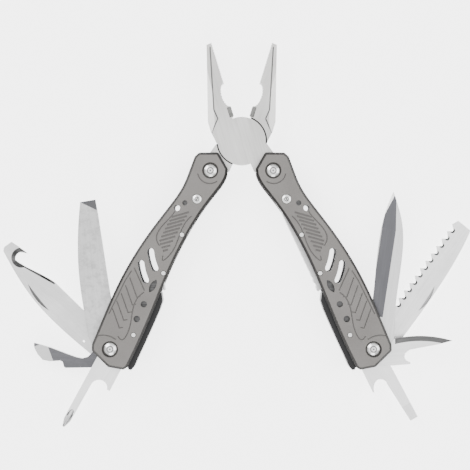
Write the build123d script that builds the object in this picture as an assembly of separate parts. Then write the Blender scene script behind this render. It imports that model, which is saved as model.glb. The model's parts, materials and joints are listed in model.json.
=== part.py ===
"""Folding multi tool: a plier head, two hollow handles and eight folding tools.

The tool lies flat and open. Z = 0 is the plane it rests on, the Z axis stands in
the middle of that plane, and the jaws point along +Y. Everything is drawn about
the plier pivot and moved by CENTRE at the end. The left handle's pieces are drawn
in the handle's own frame: the origin is the tool axle, +Y runs to the head axle
and +X to the inner side. The right handle is the mirror of the left.
"""
from build123d import *
import math
import os

os.makedirs("parts", exist_ok=True)

# Thicknesses along Z, mm
COVER = 2.2
LINER = 0.8
LONG_TOOL = 1.8
SHORT_TOOL = 2.4
TOOL_GAP = 0.48
WASHER = 0.4
CHANNEL = 2 * LONG_TOOL + 2 * SHORT_TOOL + 5 * TOOL_GAP
CHANNEL_LOW = COVER + LINER
CHANNEL_HIGH = CHANNEL_LOW + CHANNEL
THICKNESS = CHANNEL_HIGH + LINER + COVER
MID = THICKNESS / 2
HEAD = 6.0

# Heights of the middle of the four tool layers, front (top) layer first
LAYER_1 = CHANNEL_HIGH - TOOL_GAP - LONG_TOOL / 2
LAYER_2 = LAYER_1 - LONG_TOOL / 2 - TOOL_GAP - SHORT_TOOL / 2
LAYER_3 = LAYER_2 - SHORT_TOOL - TOOL_GAP
LAYER_4 = LAYER_3 - SHORT_TOOL / 2 - TOOL_GAP - LONG_TOOL / 2

# Middle of the open tool's outline, from the plier pivot
CENTRE = (-1.9, -40.7)

# Axles and handle placing
AXLE_SPAN = 88.0
HEAD_AXLE = (13.5, -13.0)
HANDLE_TILT = 29.3
AXLE_R = 2.0
RUNNING_GAP = 0.05
AXLE_HEAD_R = 3.0
COUNTERBORE_R = 3.5
COUNTERBORE = 1.3
TANG_R = 6.3
WASHER_R = 4.6
BUSHING_R = 4.2

# Plier head
HALF_OPENING = 17.0
DISC_R = 10.4
SHOULDER_R = 11.0
RIVET_R = 3.0
RIVET_HEAD_R = 4.4
RIVET_HEAD = 0.9
RIVET_COVER = 1.0
HALF_GAP = 0.04
CLOSED_HEAD_AXLE = (9.11, -16.38)
LOBE_R = 5.2

# Fixed places on a handle, and the radii of what is there
SMALL_RIVETS = [(2.9, 58.0), (4.0, 39.7)]
SMALL_RIVET_R = 0.8
LEVER_RIVET = (5.8, 10.3)
LEVER_RIVET_R = 1.0
FLUSH_HEAD_R = 1.15
FLUSH_DROP = 0.02
COVER_SCREW = (1.0, 74.5)
SCREW_R = 1.2
SCREW_HEAD_R = 2.05
SCREW_SINK_R = 2.1
SCREW_SINK = 0.6

# A cutter runs this far past the faces it cuts
CLEAR = 1.0


def shape(*points):
    """A flat face with straight sides."""
    return make_face(Polyline(*points, close=True))


def plate(face, low, high):
    """A flat plate between two heights."""
    return extrude(Pos(0, 0, low) * face, amount=high - low)


def disc(radius, low, high, at=(0, 0)):
    """A round plate or pin between two heights."""
    return plate(Pos(*at) * Circle(radius), low, high)


def ground(start, end, drop, reach, height):
    """A cutter that grinds a slope on the left of a line, `drop` deep at `reach` from it."""
    run = Vector(*end) - Vector(*start)
    left = Vector(-run.Y, run.X)
    section = Plane(origin=(*start, height), x_dir=left, z_dir=run)
    return extrude(section * shape((0, 0), (reach, -drop), (reach, CLEAR), (0, CLEAR)), amount=run.length)


def ring_ground(centre, radius, drop, reach, height):
    """A cutter that grinds a curved slope outward, `drop` deep at `radius` from the centre."""
    section = shape((radius - reach, 0), (radius, -drop), (radius + CLEAR, -drop), (radius + CLEAR, CLEAR),
                    (radius - reach, CLEAR))
    ring = revolve(Plane.XZ * section, Axis.Z)
    return Pos(*centre, height) * ring


def scored(points, width, depth):
    """A cutter for a V-shaped line along points that lie on a face."""
    cutters = []
    for start, end in zip(points, points[1:]):
        run = Vector(*end) - Vector(*start)
        across = Plane(origin=start, x_dir=Vector(-run.Y, run.X), z_dir=run)
        vee = shape((-width / 2, 0), (0, -depth), (width / 2, 0), (width / 2, CLEAR), (-width / 2, CLEAR))
        cutters.append(extrude(across * vee, amount=run.length))
    return Part() + cutters


def both_faces(cutter, height=0.0):
    """A cutter and its mirror image below the plane at `height`."""
    return cutter + mirror(cutter, about=Plane.XY.offset(height))


# --- Plier head ---------------------------------------------------------------
NOSE_TIP = 44.5
FLAT_TEETH_END = 26.3
PIPE_GRIP_END = 15.8
PIPE_GRIP_DEPTH = 2.4
PIPE_TEETH = 13
TOOTH = 1.05
TOOTH_DEPTH = 0.5


def flat_teeth():
    """Zigzag along the flat of the nose, from its tip down."""
    count = round((NOSE_TIP - FLAT_TEETH_END) / TOOTH)
    step = (NOSE_TIP - FLAT_TEETH_END) / count
    points = []
    for i in range(count):
        y = NOSE_TIP - i * step
        points += [(-HALF_GAP, y), (-HALF_GAP - TOOTH_DEPTH, y - 0.5 * step)]
    return points


def pipe_teeth():
    """Zigzag round the hollow for pipes and nuts, from its upper end down."""
    middle = (FLAT_TEETH_END + PIPE_GRIP_END) / 2
    half = (FLAT_TEETH_END - PIPE_GRIP_END) / 2
    points = []
    for i in range(1, 2 * PIPE_TEETH):
        turn = math.pi * i / (2 * PIPE_TEETH)
        depth = PIPE_GRIP_DEPTH * math.sin(turn) + (0 if i % 2 else TOOTH_DEPTH)
        points.append((-HALF_GAP - depth, middle + half * math.cos(turn)))
    return points


def nose_face():
    """The left nose, jaws shut: the grip side is on X = 0."""
    outer = [(-10.7, 2.4), (-11.0, 4.6), (-11.6, 7.9), (-11.6, 12.1), (-9.7, 18.8),
             (-6.9, 28.4), (-2.4, 44.3)]
    grip = flat_teeth() + [(-HALF_GAP, FLAT_TEETH_END)] + pipe_teeth()
    cutter = [(-HALF_GAP, 15.6), (-HALF_GAP, 11.6), (-1.0, 10.8), (-1.0, 5.0), (-6.0, 0.0)]
    return shape(*outer, *grip, *cutter)


def tang_face():
    """The right tang, jaws shut: a band from the disc to a round lobe on the head axle."""
    band = shape((10.0, -4.1), (11.3, -7.8), (14.2, -15.0), (4.6, -19.0), (1.3, -14.0),
                 (0.8, -10.2), (4.0, -4.0))
    return band + Pos(*CLOSED_HEAD_AXLE) * Circle(LOBE_R)


FACET_LINE = [(-1.2, 43.0), (-7.6, 16.4), (-7.1, 12.2), (-11.4, 7.2)]
THINNING_START = 24.0
THINNING = 0.85
THINNING_REACH = 22.0


def jaw(upper_half):
    """One jaw, jaws shut: left nose and right tang, with the disc in one half of the thickness."""
    low, high = MID - HEAD / 2, MID + HEAD / 2
    limbs = nose_face() + tang_face()
    own = plate(limbs + Circle(DISC_R), MID + HALF_GAP, high)
    other = plate(limbs - Circle(SHOULDER_R), low, MID + HALF_GAP)
    body = own + other
    body -= disc(AXLE_R + RUNNING_GAP, low - CLEAR, high + CLEAR, CLOSED_HEAD_AXLE)

    # The nose thins to the tip, has a ground outer facet, and a wire cutter near its root
    facet = ground((-9.8, 7.2), (-0.85, 44.6), 1.0, 5.0, high)
    facet &= plate(shape(*FACET_LINE, (-14, 7.2), (-14, 46), (1, 46)), 0, THICKNESS)
    thin = ground((-14.0, THINNING_START), (2.0, THINNING_START), THINNING, THINNING_REACH, high)
    edge = ground((-2.0, 15.7), (-2.0, 11.2), HEAD / 2 - 0.1, 2.0, high)
    line = []
    for x, y in ((-1.2, 43.0), (-5.77, THINNING_START), *FACET_LINE[1:]):
        line.append((x, y, high - THINNING / THINNING_REACH * max(0, y - THINNING_START)))
    for cutter in (facet, thin, edge, scored(line, 0.6, 0.3)):
        body -= both_faces(cutter, MID)
    return body if upper_half else mirror(body, about=Plane.XY.offset(MID))


def plier_head():
    low, high = MID - HEAD / 2, MID + HEAD / 2
    front = Rot(Z=HALF_OPENING) * jaw(True)
    rear = Rot(Z=-HALF_OPENING) * mirror(jaw(False), about=Plane.YZ)
    shank_top = high - RIVET_COVER
    rivet = disc(RIVET_R, low, shank_top) + disc(RIVET_HEAD_R, low, low + RIVET_HEAD)
    front -= disc(RIVET_R, low, shank_top)
    rear -= disc(RIVET_R + RUNNING_GAP, low - CLEAR, high)
    rear -= disc(RIVET_HEAD_R + RUNNING_GAP, low - CLEAR, low + RIVET_HEAD + RUNNING_GAP)
    return {"front_jaw": front, "rear_jaw": rear, "jaw_rivet": rivet}


# --- Handle plates ------------------------------------------------------------
OUTER_EDGE = [(-8.8, 90), (-7.9, 84), (-7, 76), (-7.6, 68), (-9.5, 55), (-10.8, 40),
              (-10.8, 28), (-9.2, 10), (-7.8, -2)]
INNER_EDGE = [(10.3, -3), (9.8, 6), (8, 24), (6, 40), (5.0, 55), (5.4, 70), (6.7, 80),
              (7.5, 86), (7.2, 90)]
BOTTOM = [(-7.8, -2), (-6.5, -4.5), (3, -7.1), (9.4, -4.9), (10.3, -3)]
TOP = [(7.2, 90), (6.2, 92.3), (-0.8, 96.5), (-8, 92.4), (-8.8, 90)]
SLOTS = [((-5.3, 45.1), (-0.2, 39.8)), ((-6.4, 38.6), (-1.2, 33.3))]
SLOT_WIDTH = 2.9
SLOT_BOW = 0.2
SEE_THROUGH_HOLE = (-4.6, 67.0, 1.3)
COVER_HOLES = [(-2.7, 70.5, 1.1), (3.2, 24.0, 1.35), (3.7, 17.0, 1.4)]
LENS = (2.8, 32.7, 6.2, 2.6)
COVER_BEVEL = 1.05
CORNER_R = 1.4
LINER_INSET = 0.45


def handle_face(inset=0.0):
    """Outline of a handle plate, drawn in all round by the inset."""
    def ends(points, rise):
        moved = [(x - math.copysign(inset, x), y + rise) for x, y in points[1:-1]]
        first, last = points[0], points[-1]
        return [(first[0] - math.copysign(inset, first[0]), first[1]), *moved,
                (last[0] - math.copysign(inset, last[0]), last[1])]

    outer = Spline(*[(x + inset, y) for x, y in OUTER_EDGE])
    inner = Spline(*[(x - inset, y) for x, y in INNER_EDGE])
    face = make_face(outer + Polyline(*ends(BOTTOM, inset)) + inner + Polyline(*ends(TOP, -inset)))
    corners = [v for v in face.vertices() if not -3.5 < v.Y < 91]
    return fillet(corners, CORNER_R)


def window_faces():
    """Windows right through a handle side: two slots and a round hole."""
    x, y, radius = SEE_THROUGH_HOLE
    faces = [Pos(x, y) * Circle(radius)]
    for start, end in SLOTS:
        middle = ((start[0] + end[0]) / 2 - SLOT_BOW, (start[1] + end[1]) / 2 - SLOT_BOW)
        faces.append(trace(ThreePointArc(start, middle, end), SLOT_WIDTH))
        faces += [Pos(*point) * Circle(SLOT_WIDTH / 2) for point in (start, end)]
    return Sketch() + faces


def lens_face():
    """The pointed oval window that shows the steel under the cover."""
    x, y, length, width = LENS
    low, high = (x, y - length / 2), (x, y + length / 2)
    return make_face([ThreePointArc(low, (x + side * width / 2, y), high) for side in (1, -1)])


BROAD_GROOVE = 0.85
FINE_GROOVE = 0.5
GROOVE_DEPTH = 0.45
GROOVE_END_X = 0.8
UPPER_GROOVES = [(-4.7, 62.4), (-4.7, 60.5), (-4.7, 58.6), (-4.6, 56.7), (-4.5, 54.8), (-4.4, 52.9),
                 (-4.2, 51.0), (-3.2, 49.8), (-2.0, 48.8), (-0.8, 47.9)]
LOWER_GROOVES = [30.0, 26.2, 22.4, 18.6, 14.8]


def slanted_grooves():
    """Centre lines of the upper grip panel's grooves, each at 45 degrees."""
    return [Polyline((x, y), (GROOVE_END_X, y + GROOVE_END_X - x)) for x, y in UPPER_GROOVES]


def fine_lines():
    """Centre lines of the lower panel's grooves, both panels' borders and the end arcs."""
    lines = []
    for y in LOWER_GROOVES:
        lines.append(Polyline((-7.6, y + 1.0), (-6.4, y), (-0.9, y - 4.8), (0.3, y - 3.8)))
    lines.append(Spline((2.6, 67.0), (2.3, 56.0), (2.2, 46.4), (1.2, 44.4), (0.2, 46.2)))
    lines.append(Spline((-4.7, 65.5), (-6.0, 58.5), (-6.2, 52.0), (-3.2, 49.2)))
    lines.append(Spline((0.8, 28.5), (1.2, 17.0), (3.2, 10.0), (2.6, 6.2), (0.3, 6.6)))
    lines.append(Polyline((-8.4, 34.0), (-8.7, 29.0), (-7.8, 13.0)))
    lines.append(Polyline((-8.0, 35.6), (0.6, 29.3)))
    lines.append(ThreePointArc((-7.5, 2.4), (-3.5, 4.7), (0.2, 4.9)))
    lines.append(ThreePointArc((-4.0, 84.2), (0.0, 82.3), (4.8, 85.4)))
    return lines


def cover():
    """Front grip cover, outer face up, from Z = 0 to its thickness."""
    face = handle_face()
    body = plate(face, 0, COVER)
    rim = body.edges().filter_by(lambda e: abs(e.center().Z - COVER) < 0.01)
    body = chamfer(rim, COVER_BEVEL)
    low, high = -CLEAR, COVER + CLEAR
    body -= plate(window_faces() + lens_face(), low, high)
    for x, y, radius in COVER_HOLES:
        body -= disc(radius, low, high, (x, y))
    for at in ((0, 0), (0, AXLE_SPAN)):
        body -= disc(AXLE_R + RUNNING_GAP, low, high, at)
        body -= disc(COUNTERBORE_R, COVER - COUNTERBORE, high, at)
    body -= disc(SCREW_R, low, high, COVER_SCREW)
    body -= disc(SCREW_SINK_R, COVER - SCREW_SINK, high, COVER_SCREW)
    for at in (*SMALL_RIVETS, LEVER_RIVET):
        body -= disc(FLUSH_HEAD_R, low, high, at)
    grooves = [trace(line, BROAD_GROOVE) for line in slanted_grooves()]
    grooves += [trace(line, FINE_GROOVE) for line in fine_lines()]
    return body - plate(Sketch() + grooves, COVER - GROOVE_DEPTH, high)


def liner():
    """Steel side plate under a cover, from Z = 0 to its thickness."""
    body = plate(handle_face(inset=LINER_INSET) - window_faces(), 0, LINER)
    low, high = -CLEAR, LINER + CLEAR
    for at in ((0, 0), (0, AXLE_SPAN)):
        body -= disc(AXLE_R + RUNNING_GAP, low, high, at)
    body -= disc(SCREW_R, low, high, COVER_SCREW)
    for at in SMALL_RIVETS:
        body -= disc(SMALL_RIVET_R, low, high, at)
    return body - disc(LEVER_RIVET_R, low, high, LEVER_RIVET)


# --- What lies between the plates -----------------------------------------------
SPINE_FACE = [(3.6, 33.2), (2.7, 37.5), (1.85, 50.0), (1.85, 78.0)]
SCALLOPS = 11
SCALLOP_R = 1.5
SPRING_X = 4.7
SPRING = 0.5
SPRING_WIDTH = 2.96


def spine(scalloped):
    """Back strip between the liners. The scalloped one stands out of the handle's inner side."""
    back = [(5.9, 78.0), (4.9, 70.0), (4.6, 55.0), (5.5, 40.0), (6.4, 33.2)]
    if scalloped:
        rise = [(5.3, 71.0), (5.6, 69.5), (6.6, 55.0), (7.6, 41.0), (8.6, 33.2)]
        back = back[:1] + rise
    else:
        back = back[:-1] + [(6.2, 36.0), (8.1, 33.4)]
    body = plate(shape(*SPINE_FACE, *back), CHANNEL_LOW, CHANNEL_HIGH)
    if scalloped:
        for i in range(SCALLOPS):
            along = (i + 0.5) / SCALLOPS
            body -= disc(SCALLOP_R, 0, THICKNESS, (7.1 + 2.3 * along, 69.0 - 34.6 * along))
    for at in SMALL_RIVETS:
        body -= disc(SMALL_RIVET_R, 0, THICKNESS, at)
    return body - Pos(SPRING_X + SPRING / 2, 35.5, MID) * Box(SPRING, 5.0, 3.0)


def lock_spring():
    """Leaf held in the spine's end. Its free end bears in a slot of the lock lever."""
    return Pos(SPRING_X + SPRING / 2, 28.2, MID) * Box(SPRING, 19.5, SPRING_WIDTH)


LEVER_GAP = 0.1
LEVER_GROOVE = 0.6
LEVER_GROOVE_DEPTH = 0.5
LEVER_GROOVE_Z = 2.6


def lock_lever():
    """Black lever along the inner side. Its claw sits behind the tool tangs."""
    outer = [(11.2, -4.0), (12.3, -3.6), (12.7, -2.0), (12.3, 2.0), (11.7, 10.0), (11.0, 18.0),
             (10.3, 25.0), (9.5, 29.0), (7.6, 31.6), (6.2, 31.6)]
    claw_arc = ThreePointArc((4.1, 6.9), (7.3, 3.3), (8.0, -1.5))
    edges = Polyline((8.0, -1.5), *outer, (4.1, 27.0), (4.1, 6.9)) + claw_arc
    face = make_face(edges)
    body = plate(face, CHANNEL_LOW + LEVER_GAP, CHANNEL_HIGH - LEVER_GAP)
    body -= disc(LEVER_RIVET_R + RUNNING_GAP, 0, THICKNESS, LEVER_RIVET)
    body -= Pos(5.1, 24.5, MID) * Box(2.6, 15.0, 3.2)
    # Two grooves along the thumb face
    skin = face - offset(face, -LEVER_GROOVE_DEPTH, kind=Kind.INTERSECTION)
    skin &= Pos(12.5, 14) * Rectangle(7, 32)
    for height in (MID - LEVER_GROOVE_Z, MID + LEVER_GROOVE_Z):
        body -= plate(skin, height - LEVER_GROOVE / 2, height + LEVER_GROOVE / 2)
    return body


AXLE_RIM = 0.4
AXLE_DOME = 0.85
SCREW_RIM = 0.2
SCREW_DOME = 0.38


def domed_head(radius, height, base):
    """Low domed rivet head with a turned ring and a centre dimple, its base at a height."""
    dome_r = (radius**2 + height**2) / (2 * height)
    top = base + height
    head = disc(radius, base, top + CLEAR) & Pos(0, 0, top - dome_r) * Sphere(dome_r)
    ring_low = top - 0.28
    ring = disc(0.5 * radius, ring_low, top + CLEAR) - disc(0.34 * radius, ring_low, top + CLEAR)
    return head - ring - disc(0.12 * radius, top - 0.35, top + CLEAR)


def axle(at):
    """Axle through the whole handle with a domed head in each cover's counterbore."""
    head_low = THICKNESS - COUNTERBORE + 0.03
    rim_top = head_low + AXLE_RIM
    shank = disc(AXLE_R, THICKNESS - head_low, head_low)
    head = disc(AXLE_HEAD_R, head_low, rim_top) + domed_head(AXLE_HEAD_R, AXLE_DOME, rim_top)
    return Pos(*at) * (shank + both_faces(head, MID))


def washers(at, heights, thickness, radius):
    """Separate flat rings on an axle."""
    rings = [disc(radius, z, z + thickness, at) - disc(AXLE_R, z, z + thickness, at) for z in heights]
    return Compound(children=[ring.solid() for ring in rings])


def cover_rivets():
    """The small flush rivets of one handle. The lowest one carries the lock lever."""
    pins = []
    for at, radius in [(place, SMALL_RIVET_R) for place in SMALL_RIVETS] + [(LEVER_RIVET, LEVER_RIVET_R)]:
        shank = disc(radius, COVER, THICKNESS - COVER, at)
        heads = disc(FLUSH_HEAD_R, THICKNESS - COVER, THICKNESS - FLUSH_DROP, at)
        heads += disc(FLUSH_HEAD_R, FLUSH_DROP, COVER, at)
        ends = heads.edges().filter_by(lambda e: abs(e.center().Z - MID) > MID - 0.5)
        pins.append((shank + chamfer(ends, 0.25)).solid())
    return Compound(children=pins)


def cover_screws():
    """Short domed screws, one through each cover into its liner."""
    head_low = THICKNESS - SCREW_SINK
    rim_top = head_low + SCREW_RIM
    screw = disc(SCREW_R, CHANNEL_HIGH, head_low) + disc(SCREW_HEAD_R, head_low, rim_top)
    screw += domed_head(SCREW_HEAD_R, SCREW_DOME, rim_top)
    screw = Pos(*COVER_SCREW) * (screw - Pos(0, 0, THICKNESS + 0.3) * Box(0.5, 2.6, 0.8))
    return Compound(children=[screw.solid(), mirror(screw, about=Plane.XY.offset(MID)).solid()])


# --- Folding tools: X towards the inner side when folded, Y along the tool --------
def finished(face, thickness):
    """A tool blank: the outline with its round tang and axle hole."""
    blank = plate(face + Circle(TANG_R), -thickness / 2, thickness / 2)
    return blank - disc(AXLE_R + RUNNING_GAP, -thickness, thickness)


def nail_nick(start, end, width, height):
    """Crescent-shaped cutter for a nail nick, sunk deeper towards its curved side."""
    run = Vector(*end) - Vector(*start)
    side = Vector(-run.Y, run.X).normalized()
    middle = (Vector(*start) + Vector(*end)) * 0.5
    deep, flat = middle + side * width, middle + side * 0.15 * width
    arcs = [ThreePointArc(start, (deep.X, deep.Y), end), ThreePointArc(start, (flat.X, flat.Y), end)]
    return plate(make_face(arcs), height - CLEAR, height + CLEAR) & ground(start, end, 0.6, width, height)


def file_tool():
    outer = Spline((-3.4, 64.5), (-7.0, 47.7), (-8.6, 34.0), (-8.9, 22.0), (-8.5, 5.7))
    rest = Polyline((-8.5, 5.7), (-6, 0), (3.4, 0), (3.4, 58), (3.2, 64.6), (-3.4, 64.5))
    body = finished(make_face(outer + rest), LONG_TOOL)
    tip = ground((-4.2, 65.0), (3.8, 59.5), 1.1, 7.0, LONG_TOOL / 2)
    return body - tip


def strap_cutter():
    back = Spline((-3.1, 63.4), (-6.2, 53.0), (-8.9, 40.0), (-9.7, 28.0), (-8.6, 4.8))
    base = Polyline((-8.6, 4.8), (-6, 0), (2.8, 0), (2.8, 37.0))
    belly = Spline((2.8, 37.0), (1.4, 43.5), (-1.0, 51.0), (-2.3, 57.0))
    gut = ThreePointArc((-2.3, 57.0), (-0.3, 58.2), (1.7, 57.6))
    beak = Polyline((1.7, 57.6), (3.5, 55.2), (2.9, 60.0), (2.2, 63.7), (-1.6, 64.3), (-3.1, 63.4))
    body = finished(make_face(back + base + belly + gut + beak), LONG_TOOL)
    half = LONG_TOOL / 2
    # The hook is sharpened inside, from the front face only
    hook_depth = 1.3
    hollow = Pos(0.35, 55.7, half - hook_depth / 2) * Cone(2.6, 4.4, hook_depth)
    grind = ground((-2.9, 55.6), (2.0, 37.2), 0.8, 1.0, half)
    body -= disc(0.55, -half, half, (-6.8, 10.7))
    return body - grind - hollow - nail_nick((-7.7, 30.8), (-5.8, 45.7), 1.5, half)


def can_opener():
    tip = [(-2.9, 9.3), (-4.0, 10.6), (-4.6, 12.8), (-4.0, 15.5), (-2.5, 19.7), (0, 26.2),
           (2.2, 33.7), (0, 33.7)]
    claw = [(-2.7, 32.3), (-5.2, 30.1), (-5.8, 26.8), (-5.5, 22.4), (-6.0, 21.3), (-8.2, 20.7),
            (-8.7, 20.0)]
    body = finished(shape(*tip, *claw, (-8.5, 5.9), (-6, 0), (3, 0), (0.5, 6.2)), SHORT_TOOL)
    return body - ground((-6.2, 25.2), (2.6, 28.4), 1.5, 9.0, SHORT_TOOL / 2)


def phillips_driver():
    shank = Polyline((-0.1, 18.0), (-0.1, 33.0), (3.1, 33.0), (3.3, 16.0), (3.5, 0), (-6, 0),
                     (-8.2, 5.5), (-8.5, 16.4), (-7.2, 16.4))
    web = Spline((-7.2, 16.4), (-5.6, 14.4), (-3.2, 14.0), (-1.2, 15.2), (-0.1, 18.0))
    body = finished(make_face(shank + web), SHORT_TOOL)
    axis_x, round_r = 1.5, 1.55
    side = Polyline((0, 31), (1.2, 31), (round_r, 32), (round_r, 36.4), (0.55, 39.6), (0, 40.0),
                    (0, 31))
    point = revolve(make_face(side), Axis.Y)
    flute = Pos(1.35, 39.0, 1.35) * Rot(X=-9, Z=-9) * Box(1.9, 9.0, 1.9)
    for quarter in range(4):
        point -= Rot(Y=90 * quarter) * flute
    return body + Pos(axis_x, 0, 0) * point


def knife():
    edge = Spline((3.0, 12.0), (3.3, 36.0), (2.6, 57.5), (0, 68.2))
    back = Spline((0, 68.2), (-2.6, 62.7), (-5.3, 55.6), (-7.3, 37.0), (-8.5, 9.5))
    base = Polyline((-8.5, 9.5), (-8.3, 5.0), (-6, 0), (3.0, 0), (3.0, 12.0))
    body = finished(make_face(edge + back + base), LONG_TOOL)
    half = LONG_TOOL / 2
    main_grind = [(-1.0, 70.0), (-3.1, 52.0), (-2.4, 14.0)]
    sharpened = [(-1.3, 68.6), (1.7, 58.0), (2.6, 40.0), (2.2, 12.0)]
    for line, drop, reach in ((main_grind, 0.6, 6.0), (sharpened, 0.75, 1.3)):
        for start, end in zip(line, line[1:]):
            body -= both_faces(ground(start, end, drop, reach, half))
    return body


def wood_saw():
    pitch, crest, gullet = 4.0, 2.9, 0.9
    half = LONG_TOOL / 2
    teeth, bevels = [], []
    for i in range(11):
        y = 64.8 - i * pitch
        teeth += [(crest - 0.3, y), (crest, y - 0.3), (gullet, y - 2.1), (gullet, y - 2.9)]
        bevels.append(Pos(gullet + 0.3, y - 2.7, half - 0.4) * Cone(0.3, 1.1, 0.8))
    back = Spline((-5.2, 66.7), (-7.4, 53.0), (-8.6, 34.0), (-8.6, 5.0))
    rest = Polyline((-8.6, 5.0), (-6, 0), (3.0, 0), (3.0, 20.0), *reversed(teeth), (1.6, 67.1),
                    (-5.2, 66.7))
    body = finished(make_face(back + rest), LONG_TOOL) - bevels
    return body - nail_nick((-7.3, 25.0), (-6.6, 38.0), 1.5, half)


def small_blade():
    edge_start, edge_end = (3.9, 9.0), (3.3, 34.8)
    edge_r = 48.0
    edge = RadiusArc(edge_start, edge_end, -edge_r)
    hook = [edge_end, (1.6, 27.6), (0.6, 22.2), (-0.6, 16.1), (-2.2, 14.1), (-3.9, 13.9), (-5.2, 14.6),
            (-6.2, 16.6), (-6.8, 16.4), (-7.5, 7.8), (-7.3, 5.0), (-6, 0), (3.6, 0), edge_start]
    body = finished(make_face(edge + Polyline(*hook)), SHORT_TOOL)
    centre = edge.arc_center
    grind = ring_ground((centre.X, centre.Y), edge_r, 1.05, 2.2, SHORT_TOOL / 2)
    grind &= plate(Pos(4.0, 22.8) * Rectangle(8.0, 26.0), -THICKNESS, THICKNESS)
    return body - both_faces(grind)


def flat_driver():
    shank = Polyline((-1.8, 17.0), (-0.8, 36.0), (2.8, 36.0), (3.3, 14.0), (3.3, 0), (-6, 0),
                     (-8.3, 5.0), (-9.0, 17.2), (-8.4, 17.4))
    web = Spline((-8.4, 17.4), (-7.0, 14.6), (-4.6, 13.4), (-2.8, 14.2), (-1.8, 17.0))
    body = finished(make_face(shank + web), SHORT_TOOL)
    tip = ground((-4.0, 29.0), (4.0, 29.0), 0.8, 7.0, SHORT_TOOL / 2)
    return body - both_faces(tip)


# Tool, its layer and its angle from the folded direction as it lies here
LEFT_TOOLS = {
    "left_file": (file_tool, LAYER_1, 38.0),
    "left_strap_cutter": (strap_cutter, LAYER_4, 75.0),
    "left_can_opener": (can_opener, LAYER_3, 119.4),
    "left_phillips_driver": (phillips_driver, LAYER_2, 180.0),
}
RIGHT_TOOLS = {
    "right_knife": (knife, LAYER_1, 36.9),
    "right_wood_saw": (wood_saw, LAYER_4, 65.3),
    "right_small_blade": (small_blade, LAYER_2, 119.4),
    "right_flat_driver": (flat_driver, LAYER_3, 180.0),
}


def handle_pieces(scalloped):
    """All pieces of one handle in the handle's own frame."""
    front_cover, front_liner = cover(), liner()
    washer_heights = [CHANNEL_LOW + (TOOL_GAP - WASHER) / 2]
    layers = [(LAYER_4, LONG_TOOL), (LAYER_3, SHORT_TOOL), (LAYER_2, SHORT_TOOL), (LAYER_1, LONG_TOOL)]
    for layer, thick in layers:
        washer_heights.append(layer + thick / 2 + (TOOL_GAP - WASHER) / 2)
    bushing = (CHANNEL - HEAD) / 2 - 2 * RUNNING_GAP
    bushing_heights = [CHANNEL_LOW + RUNNING_GAP, MID + HEAD / 2 + RUNNING_GAP]
    return {
        "cover_front": Pos(0, 0, THICKNESS - COVER) * front_cover,
        "cover_back": Pos(0, 0, COVER) * mirror(front_cover, about=Plane.XY),
        "liner_front": Pos(0, 0, CHANNEL_HIGH) * front_liner,
        "liner_back": Pos(0, 0, COVER) * front_liner,
        "spine": spine(scalloped),
        "lock_lever": lock_lever(),
        "lock_spring": lock_spring(),
        "tool_axle": axle((0, 0)),
        "tool_washers": washers((0, 0), washer_heights, WASHER, WASHER_R),
        "head_axle": axle((0, AXLE_SPAN)),
        "head_axle_bushings": washers((0, AXLE_SPAN), bushing_heights, bushing, BUSHING_R),
        "cover_rivets": cover_rivets(),
        "cover_screws": cover_screws(),
    }


def placed_left(piece):
    """Move a piece from the left handle's frame to where it lies."""
    tilt = math.radians(HANDLE_TILT)
    x = -HEAD_AXLE[0] - AXLE_SPAN * math.sin(tilt)
    y = HEAD_AXLE[1] - AXLE_SPAN * math.cos(tilt)
    return Pos(x, y, 0) * Rot(Z=-HANDLE_TILT) * piece


def all_nodes():
    nodes = plier_head()
    for side, tools, scalloped in (("left", LEFT_TOOLS, False), ("right", RIGHT_TOOLS, True)):
        pieces = {f"{side}_{name}": piece for name, piece in handle_pieces(scalloped).items()}
        for name, (make, layer, angle) in tools.items():
            pieces[name] = Pos(0, 0, layer) * Rot(Z=angle) * make()
        for name, piece in pieces.items():
            piece = placed_left(piece)
            nodes[name] = piece if side == "left" else mirror(piece, about=Plane.YZ)
    return nodes


for name, piece in all_nodes().items():
    export_step(Pos(-CENTRE[0], -CENTRE[1], 0) * piece, f"parts/{name}.step")
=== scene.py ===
"""Looks of the folding multi tool: camera, studio and the materials of its CAD nodes."""
import json
import math

import bpy
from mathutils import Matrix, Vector


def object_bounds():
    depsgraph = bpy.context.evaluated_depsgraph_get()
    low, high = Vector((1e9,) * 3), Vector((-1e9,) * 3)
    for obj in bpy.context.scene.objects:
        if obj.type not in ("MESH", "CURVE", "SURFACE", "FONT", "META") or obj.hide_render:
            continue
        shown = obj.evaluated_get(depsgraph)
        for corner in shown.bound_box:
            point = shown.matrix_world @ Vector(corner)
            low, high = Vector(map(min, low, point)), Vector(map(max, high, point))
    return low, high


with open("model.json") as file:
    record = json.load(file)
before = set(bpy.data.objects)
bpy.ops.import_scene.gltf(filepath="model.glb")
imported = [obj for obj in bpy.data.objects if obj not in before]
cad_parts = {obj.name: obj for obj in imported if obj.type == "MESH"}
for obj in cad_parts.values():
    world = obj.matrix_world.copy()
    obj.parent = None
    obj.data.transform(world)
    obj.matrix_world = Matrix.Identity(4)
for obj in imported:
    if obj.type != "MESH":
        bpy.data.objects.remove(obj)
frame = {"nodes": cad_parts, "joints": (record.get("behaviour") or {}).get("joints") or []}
cad_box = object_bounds()
MM = 0.001
nodes = frame["nodes"]
joints = {j["child"]: j for j in frame["joints"]}
THICKNESS = cad_box[1][2]

# How level a face is, as the size of its normal's Z: 1 lies flat and 0 stands upright.
# Each pair says where a mask is 0 and where it is 1.
UPRIGHT = (0.35, 0.15)
ROLLED_OVER = (0.93, 0.80)
NEARLY_FLAT = (0.98, 0.99)
DEAD_FLAT = (0.9965, 0.9985)
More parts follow.
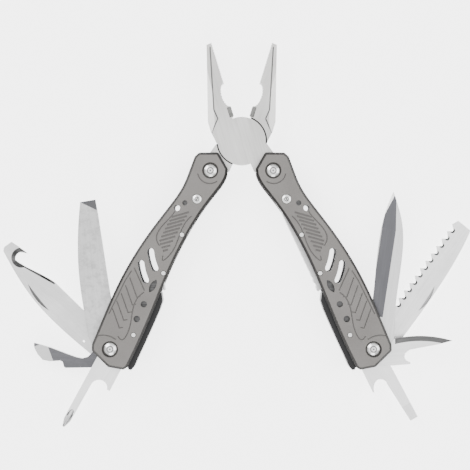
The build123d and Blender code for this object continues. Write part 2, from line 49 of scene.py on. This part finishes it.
# A slope has two such pairs, on its steep side and on its flat side.
ANY_SLOPE = ((0.20, 0.35), (0.99, 0.97))
GENTLE_SLOPE = ((0.90, 0.93), (0.9985, 0.9965))
STEEP_SLOPE = ((0.25, 0.35), (0.93, 0.90))
SCORED_SLOPE = ((0.64, 0.68), (0.80, 0.76))


def grey(tone, blue=0.0):
    """A grey whose blue is raised by a fraction."""
    return (tone, tone, tone * (1 + blue))


def scaled(colour, factor):
    """A colour times a factor, no brighter than 1."""
    return tuple(min(1.0, factor * c) for c in colour)


# --- Material helpers ------------------------------------------------------------
class Shader:
    """A small builder for one procedural material."""

    def __init__(self, name):
        self.material = bpy.data.materials.new(name)
        self.material.use_nodes = True
        self.tree = self.material.node_tree
        self.bsdf = self.tree.nodes["Principled BSDF"]

    def node(self, kind, **settings):
        made = self.tree.nodes.new(kind)
        for key, value in settings.items():
            setattr(made, key, value)
        return made

    def link(self, source, target):
        self.tree.links.new(source, target)

    def value(self, socket, setting):
        self.bsdf.inputs[socket].default_value = setting

    def math(self, operation, a, b=0.0):
        """Each of a and b is a number or a socket."""
        made = self.node("ShaderNodeMath", operation=operation)
        for slot, item in enumerate((a, b)):
            if isinstance(item, (int, float)):
                made.inputs[slot].default_value = item
            else:
                self.link(item, made.inputs[slot])
        return made.outputs[0]

    def times(self, a, b):
        return self.math("MULTIPLY", a, b)

    def ramp(self, source, low, high, to_low=0.0, to_high=1.0):
        """Maps low..high onto to_low..to_high, and goes no further at either end."""
        made = self.node("ShaderNodeMapRange", clamp=True)
        self.link(source, made.inputs["Value"])
        limits = {"From Min": low, "From Max": high, "To Min": to_low, "To Max": to_high}
        for key, number in limits.items():
            made.inputs[key].default_value = number
        return made.outputs["Result"]

    def place(self, angle=0.0, scale=(1, 1, 1)):
        """Object coordinates turned about Z, then scaled."""
        coords = self.node("ShaderNodeTexCoord")
        turn = self.node("ShaderNodeMapping", vector_type="POINT")
        turn.inputs["Rotation"].default_value = (0, 0, angle)
        self.link(coords.outputs["Object"], turn.inputs["Vector"])
        stretch = self.node("ShaderNodeMapping", vector_type="POINT")
        stretch.inputs["Scale"].default_value = scale
        self.link(turn.outputs["Vector"], stretch.inputs["Vector"])
        return stretch.outputs["Vector"]

    def noise(self, vector, scale, detail=3.0, roughness=0.55):
        made = self.node("ShaderNodeTexNoise")
        made.inputs["Scale"].default_value = scale
        made.inputs["Detail"].default_value = detail
        made.inputs["Roughness"].default_value = roughness
        self.link(vector, made.inputs["Vector"])
        return made.outputs["Fac"]

    def mix(self, factor, a, b):
        """Mix of two colours by a socket. Each colour is a tuple or a socket."""
        made = self.node("ShaderNodeMix", data_type="RGBA")
        for slot, item in ((0, factor), (6, a), (7, b)):
            if isinstance(item, tuple):
                made.inputs[slot].default_value = (*item, 1)
            else:
                self.link(item, made.inputs[slot])
        return made.outputs[2]

    def streaked(self, tone, colour, factor):
        """A colour, scaled by a factor where the tone is low."""
        return self.mix(self.ramp(tone, 0.3, 0.7), scaled(colour, factor), colour)

    def bump(self, height, depth, after):
        """Relief of a depth, on top of the normals given."""
        made = self.node("ShaderNodeBump")
        made.inputs["Distance"].default_value = depth
        made.inputs["Strength"].default_value = 1.0
        self.link(height, made.inputs["Height"])
        self.link(after, made.inputs["Normal"])
        return made.outputs["Normal"]

    def soft_edges(self, radius):
        made = self.node("ShaderNodeBevel", samples=6)
        made.inputs["Radius"].default_value = radius
        return made.outputs["Normal"]

    def edge_mask(self, radius, low=0.002, high=0.12):
        """1 along the edges, 0 on the flats."""
        rounded = self.soft_edges(radius)
        geometry = self.node("ShaderNodeNewGeometry")
        dot = self.node("ShaderNodeVectorMath", operation="DOT_PRODUCT")
        self.link(rounded, dot.inputs[0])
        self.link(geometry.outputs["Normal"], dot.inputs[1])
        return self.ramp(dot.outputs["Value"], 1 - low, 1 - high)

    def z_of(self, vector):
        parts = self.node("ShaderNodeSeparateXYZ")
        self.link(vector, parts.inputs[0])
        return parts.outputs["Z"]

    def facing_up(self):
        """How level the surface is: 1 on faces that lie flat, either side up."""
        geometry = self.node("ShaderNodeNewGeometry")
        return self.math("ABSOLUTE", self.z_of(geometry.outputs["Normal"]))

    def slope(self, level, limits):
        """1 on faces between the steep and the flat limits of one of the slopes above."""
        steep_side, flat_side = limits
        return self.times(self.ramp(level, *flat_side), self.ramp(level, *steep_side))

    def from_middle(self):
        """Distance from the middle of the tool's thickness."""
        coords = self.node("ShaderNodeTexCoord")
        height = self.z_of(coords.outputs["Object"])
        return self.math("ABSOLUTE", self.math("SUBTRACT", height, THICKNESS / 2))

    def near_middle(self, reach):
        """1 within a distance of the middle of the tool's thickness."""
        return self.ramp(self.from_middle(), reach, reach + 0.3 * MM, 1, 0)

    def sunken(self, start, end):
        """From 0 to 1 between two depths under either outer face of the tool."""
        depth = self.math("SUBTRACT", THICKNESS / 2, self.from_middle())
        return self.ramp(depth, start, end)

    def colour(self, source):
        self.link(source, self.bsdf.inputs["Base Color"])

    def roughness(self, source):
        self.link(source, self.bsdf.inputs["Roughness"])

    def normal(self, source):
        self.link(source, self.bsdf.inputs["Normal"])


# --- Camera ------------------------------------------------------------------------
CAMERA_HEIGHT = 0.650
CAMERA_X = -0.0010
SENSOR_WIDTH = 36.0
# The picture is VIEW_WIDTH wide at the height VIEW_LEVEL.
VIEW_WIDTH = 0.2026
VIEW_LEVEL = 0.0135


def camera():
    """Straight down, just left of the middle of the tool."""
    data = bpy.data.cameras.new("camera")
    made = bpy.data.objects.new("camera", data)
    made.location = (CAMERA_X, 0.0, CAMERA_HEIGHT)
    data.sensor_width = SENSOR_WIDTH
    data.lens = SENSOR_WIDTH * (CAMERA_HEIGHT - VIEW_LEVEL) / VIEW_WIDTH
    bpy.context.scene.collection.objects.link(made)
    bpy.context.scene.camera = made


# --- Studio ------------------------------------------------------------------------
FLOOR_SPREAD = 14
FLOOR_DROP = 0.1 * MM
FLOOR_GLOW = 3.4
# Place, width and power of each soft light
LIGHTS = {
    "key": ((-0.50, 0.45, 0.80), 0.55, 5.0),
    "fill": ((0.65, 0.05, 0.70), 0.60, 3.0),
    "front": ((0.05, -0.80, 0.60), 0.50, 2.5),
}
SKY_STRENGTH = 2.2
# Brightness of the sky at heights from 0, low down, to 1, straight overhead
SKY_STOPS = ((0.0, 0.05), (0.30, 0.08), (0.62, 0.40), (0.90, 1.0), (1.0, 1.0))


def studio():
    """A pale floor, three soft lights and a sky."""
    low, high = cad_box
    size = (high - low).length * FLOOR_SPREAD
    bpy.ops.mesh.primitive_plane_add(size=size, location=(0, 0, -FLOOR_DROP))
    floor = bpy.context.object
    floor.name = "floor"
    s = Shader("pale_floor")
    tone = s.noise(s.place(), 30.0, 2.0)
    s.colour(s.mix(tone, grey(0.84), grey(0.88)))
    s.value("Roughness", 0.9)
    s.value("Specular IOR Level", 0.1)
    s.value("Emission Color", (1.0, 1.0, 1.0, 1.0))
    s.value("Emission Strength", FLOOR_GLOW)
    floor.data.materials.append(s.material)

    for name, (location, width, power) in LIGHTS.items():
        area(name, location, width, power)
    sky()


def area(name, location, width, power):
    """A square soft light that faces the tool."""
    light = bpy.data.lights.new(name, "AREA")
    light.shape = "SQUARE"
    light.size = width
    light.energy = power
    made = bpy.data.objects.new(name, light)
    made.location = location
    made.rotation_mode = "QUATERNION"
    made.rotation_quaternion = (-Vector(location)).to_track_quat("-Z", "Y")
    bpy.context.scene.collection.objects.link(made)


def sky():
    """A soft box overhead that darkens towards the horizon."""
    world = bpy.data.worlds.new("studio")
    bpy.context.scene.world = world
    world.use_nodes = True
    tree = world.node_tree
    background = tree.nodes["Background"]
    coords = tree.nodes.new("ShaderNodeTexCoord")
    parts = tree.nodes.new("ShaderNodeSeparateXYZ")
    tree.links.new(coords.outputs["Generated"], parts.inputs[0])
    ramp = tree.nodes.new("ShaderNodeValToRGB")
    ramp.color_ramp.interpolation = "EASE"
    while len(ramp.color_ramp.elements) < len(SKY_STOPS):
        ramp.color_ramp.elements.new(0.5)
    for element, (position, tone) in zip(ramp.color_ramp.elements, SKY_STOPS):
        element.position = position
        element.color = (*grey(tone), 1)
    tree.links.new(parts.outputs["Z"], ramp.inputs["Fac"])
    tree.links.new(ramp.outputs["Color"], background.inputs["Color"])
    background.inputs["Strength"].default_value = SKY_STRENGTH


# --- Brushed steel -----------------------------------------------------------------
# Noise scales along the scratches, across them and in Z: a low scale is a long mark
FINE_SCRATCHES = (6.0, 150.0, 60.0)
BROAD_STREAKS = (14.0, 60.0, 30.0)
INSIDE_REACH = 1.6 * MM
# Painted shade on upright faces, lighter and darker with the scratches
WALL_SHADE_TONES = (grey(0.10), grey(0.26))


def brushed(name, light, dark, angle, rough, facet=None, steep=None, mottle=0.0,
            inside=None, scored=None):
    """Satin steel with fine scratches along a direction.

    `facet` is painted light and shade on gently ground faces and `steep` on the bevels,
    `scored` is painted shade in the cut lines whose sides slope at 45 degrees and `inside`
    on flat faces deep in the piece.
    """
    s = Shader(name)
    s.value("Metallic", 1.0)
    s.value("Anisotropic", 0.4)
    fine = s.noise(s.place(-angle, FINE_SCRATCHES), 9.0, 6.0, 0.65)
    broad = s.noise(s.place(-angle, BROAD_STREAKS), 2.2, 3.0)
    patch = s.noise(s.place(), 420.0, 4.0, 0.7)
    tone = s.math("ADD", s.times(fine, 0.6), s.times(broad, 0.4))
    base = s.mix(s.ramp(tone, 0.34, 0.66), dark, light)
    if mottle:
        spots = s.times(s.ramp(patch, 0.45, 0.65), mottle)
        base = s.mix(spots, base, scaled(dark, 0.6))
    level = s.facing_up()
    # Painted light and shade by slope, on gently ground faces and on the bevels
    if facet is not None:
        base = s.mix(s.slope(level, GENTLE_SLOPE), base, s.streaked(tone, facet, 0.8))
    if steep is not None:
        base = s.mix(s.slope(level, STEEP_SLOPE), base, s.streaked(tone, steep, 0.75))
    # Painted shade in the scored lines, picked by their slope
    if scored is not None:
        base = s.mix(s.slope(level, SCORED_SLOPE), base, scored)
    # Painted shade on flat faces near the middle of the thickness
    if inside is not None:
        deep = s.times(s.near_middle(INSIDE_REACH), s.ramp(level, *NEARLY_FLAT))
        base = s.mix(deep, base, inside)
    # Painted shade on upright faces
    wall_shade = s.times(s.ramp(level, *UPRIGHT), 0.85)
    base = s.mix(wall_shade, base, s.mix(tone, *WALL_SHADE_TONES))
    worn = s.times(s.edge_mask(0.10 * MM), 0.35)
    s.colour(s.mix(worn, base, scaled(light, 1.12)))
    scratched = s.math("ADD", s.times(fine, 0.18), rough - 0.09)
    s.roughness(s.math("ADD", scratched, s.times(patch, 0.06)))
    s.normal(s.bump(fine, 0.008 * MM, s.soft_edges(0.09 * MM)))
    return s.material


# --- Coat of the covers --------------------------------------------------------------
COAT_TONES = ((0.158, 0.150, 0.143), (0.192, 0.183, 0.175))
COAT_GRAIN = (0.24, 0.23, 0.22)
COAT_WORN = (0.42, 0.41, 0.40)
# Painted shade in the grooves, in the holes and on the bevels
GROOVE_SHADE = (0.050, 0.048, 0.046)
HOLE_SHADE = (0.040, 0.038, 0.037)
BEVEL_SHADE = (0.030, 0.029, 0.028)
GROOVE_DEPTHS = (0.2 * MM, 0.5 * MM)
HOLE_DEPTHS = (0.5 * MM, 1.0 * MM)


def cover_material():
    """Matt, bead-blasted titanium-grey coat with painted shade in bevels, grooves and
    holes, worn at edges.
    """
    s = Shader("cover_metal")
    s.value("Metallic", 0.75)
    vector = s.place()
    grain = s.noise(vector, 5200.0, 2.0)
    cloud = s.noise(vector, 60.0, 3.0)
    base = s.mix(s.ramp(cloud, 0.3, 0.7), *COAT_TONES)
    base = s.mix(s.ramp(grain, 0.35, 0.65, 0, 0.25), base, COAT_GRAIN)
    base = s.mix(s.times(s.edge_mask(0.12 * MM, 0.004, 0.2), 0.55), base, COAT_WORN)
    # Painted shade in the grooves
    base = s.mix(s.times(s.sunken(*GROOVE_DEPTHS), 0.55), base, GROOVE_SHADE)
    # Painted shade in the holes
    base = s.mix(s.times(s.sunken(*HOLE_DEPTHS), 0.6), base, HOLE_SHADE)
    # Painted shade on the bevels, picked by their slope
    bevels = s.times(s.slope(s.facing_up(), ANY_SLOPE), 0.85)
    s.colour(s.mix(bevels, base, BEVEL_SHADE))
    s.roughness(s.ramp(cloud, 0.3, 0.7, 0.42, 0.5))
    s.normal(s.bump(grain, 0.010 * MM, s.soft_edges(0.12 * MM)))
    return s.material


# --- Lock levers ---------------------------------------------------------------------
# The lighter edge tone is a painted highlight
LEVER_BLACK, LEVER_EDGE_HIGHLIGHT = (0.012, 0.012, 0.013), grey(0.09)


def lever_material():
    """Black oxide with a painted highlight that makes it a little lighter along its edges.
    """
    s = Shader("black_lever")
    s.value("Specular IOR Level", 0.3)
    grain = s.noise(s.place(), 3000.0, 2.0)
    # Painted highlight along the edges
    s.colour(s.mix(s.edge_mask(0.10 * MM, 0.004, 0.2), LEVER_BLACK, LEVER_EDGE_HIGHLIGHT))
    s.roughness(s.ramp(grain, 0.3, 0.7, 0.34, 0.46))
    s.normal(s.bump(grain, 0.005 * MM, s.soft_edges(0.10 * MM)))
    return s.material


# --- Rivets, axles and screws --------------------------------------------------------
POLISH_TONES = ((0.70, 0.70, 0.69), (0.88, 0.88, 0.87))
# Painted shade at the rolled-over rim, along the edges and on a turned ring's floor
RIM_SHADE = (0.22, 0.22, 0.21)
RIVET_SHADE = (0.10, 0.10, 0.098)


def rivet_material(name, turned_ring=False):
    """Polished steel, with painted shade at the rim where it turns down, along edges and
    on a turned ring's floor.
    """
    s = Shader(name)
    s.value("Metallic", 1.0)
    grain = s.noise(s.place(), 1400.0, 3.0)
    level = s.facing_up()
    base = s.mix(grain, *POLISH_TONES)
    # Painted shade where the dome rolls over at the rim
    base = s.mix(s.times(s.ramp(level, *ROLLED_OVER), 0.7), base, RIM_SHADE)
    # Painted shade along the edges
    base = s.mix(s.times(s.edge_mask(0.26 * MM, 0.01, 0.20), 0.85), base, RIVET_SHADE)
    # Painted shade on the turned ring's floor
    if turned_ring:
        base = s.mix(s.times(s.ramp(level, *DEAD_FLAT), 0.85), base, RIVET_SHADE)
    s.colour(base)
    s.roughness(s.ramp(grain, 0.3, 0.7, 0.12, 0.24))
    s.normal(s.bump(grain, 0.002 * MM, s.soft_edges(0.06 * MM)))
    return s.material


# --- Painting the CAD nodes ------------------------------------------------------------
# Half of the 34 degrees between the open jaws
HALF_OPENING = math.radians(17)
# Direction of each jaw's nose in the XY plane
JAW_ANGLES = {
    "front_jaw": math.pi / 2 + HALF_OPENING,
    "rear_jaw": math.pi / 2 - HALF_OPENING,
}
JAW_LIGHT, JAW_DARK = (0.66, 0.655, 0.64), (0.50, 0.495, 0.485)
# Painted highlight on the ground facets; painted shade on the bevels, on the mid-plane
# faces and in the scored lines
JAW_FACET_HIGHLIGHT, JAW_BEVEL_SHADE = (0.74, 0.735, 0.72), (0.13, 0.13, 0.125)
JAW_INSIDE_SHADE, JAW_SCORED_SHADE = grey(0.06), grey(0.27)

# Light and dark tones of each tool, painted light and shade on its gently ground faces and
# on its bevels, and how mottled it is
TOOL_STEELS = {
    "left_file": (grey(0.62), grey(0.50), grey(0.105, 0.05), grey(0.2), 0.5),
    "left_strap_cutter": (grey(0.78), grey(0.64), grey(0.30), grey(0.17), 0.1),
    "left_can_opener": (grey(0.150, 0.07), grey(0.110, 0.07), grey(0.70), grey(0.5), 0.2),
    "left_phillips_driver": (grey(0.96), grey(0.84), grey(0.62), grey(0.16), 0.0),
    "right_knife": (grey(0.74), grey(0.58), grey(0.125, 0.08), grey(0.92), 0.0),
    "right_wood_saw": (grey(0.92), grey(0.76), grey(0.60), grey(0.10), 0.1),
    "right_small_blade": (grey(0.94), grey(0.80), grey(0.5), grey(0.17), 0.0),
    "right_flat_driver": (grey(0.96), grey(0.84), grey(0.86), grey(0.6), 0.0),
}


def tool_direction(name):
    """Angle in the XY plane from a tool's axle to its far end."""
    axle = Vector(joints[name]["pos_m"])
    reaches = (v.co - axle for v in nodes[name].data.vertices)
    far = max(reaches, key=lambda reach: reach.xy.length)
    return math.atan2(far.y, far.x)


def assign(name, material):
    slots = nodes[name].data.materials
    slots.clear()
    slots.append(material)


def paint():
    for name, angle in JAW_ANGLES.items():
        assign(name, brushed(name + "_steel", JAW_LIGHT, JAW_DARK, angle, 0.32, JAW_FACET_HIGHLIGHT,
                             JAW_BEVEL_SHADE, inside=JAW_INSIDE_SHADE, scored=JAW_SCORED_SHADE))
    covers, lever = cover_material(), lever_material()
    rivets = rivet_material("polished_rivet")
    domes = rivet_material("polished_dome", turned_ring=True)
    # Dark steel, darkened further to paint the shade seen down the cover's holes
    shaded_liner = brushed("liner_steel", grey(0.17), grey(0.045), 0.0, 0.36, mottle=0.4)
    spine = brushed("spine_steel", grey(0.60), grey(0.44), 0.0, 0.36)
    finishes = {
        "cover_front": covers,
        "cover_back": covers,
        "liner_front": shaded_liner,
        "liner_back": shaded_liner,
        "tool_axle": domes,
        "head_axle": domes,
        "cover_screws": domes,
        "cover_rivets": rivets,
        "spine": spine,
        "lock_spring": spine,
        "tool_washers": spine,
        "head_axle_bushings": spine,
        "lock_lever": lever,
    }
    assign("jaw_rivet", rivets)
    for side in ("left", "right"):
        for part, finish in finishes.items():
            assign(f"{side}_{part}", finish)
    for name, (light, dark, facet, steep, mottle) in TOOL_STEELS.items():
        assign(name, brushed(name + "_steel", light, dark, tool_direction(name), 0.30,
                             facet, steep, mottle))


camera()
studio()
paint()
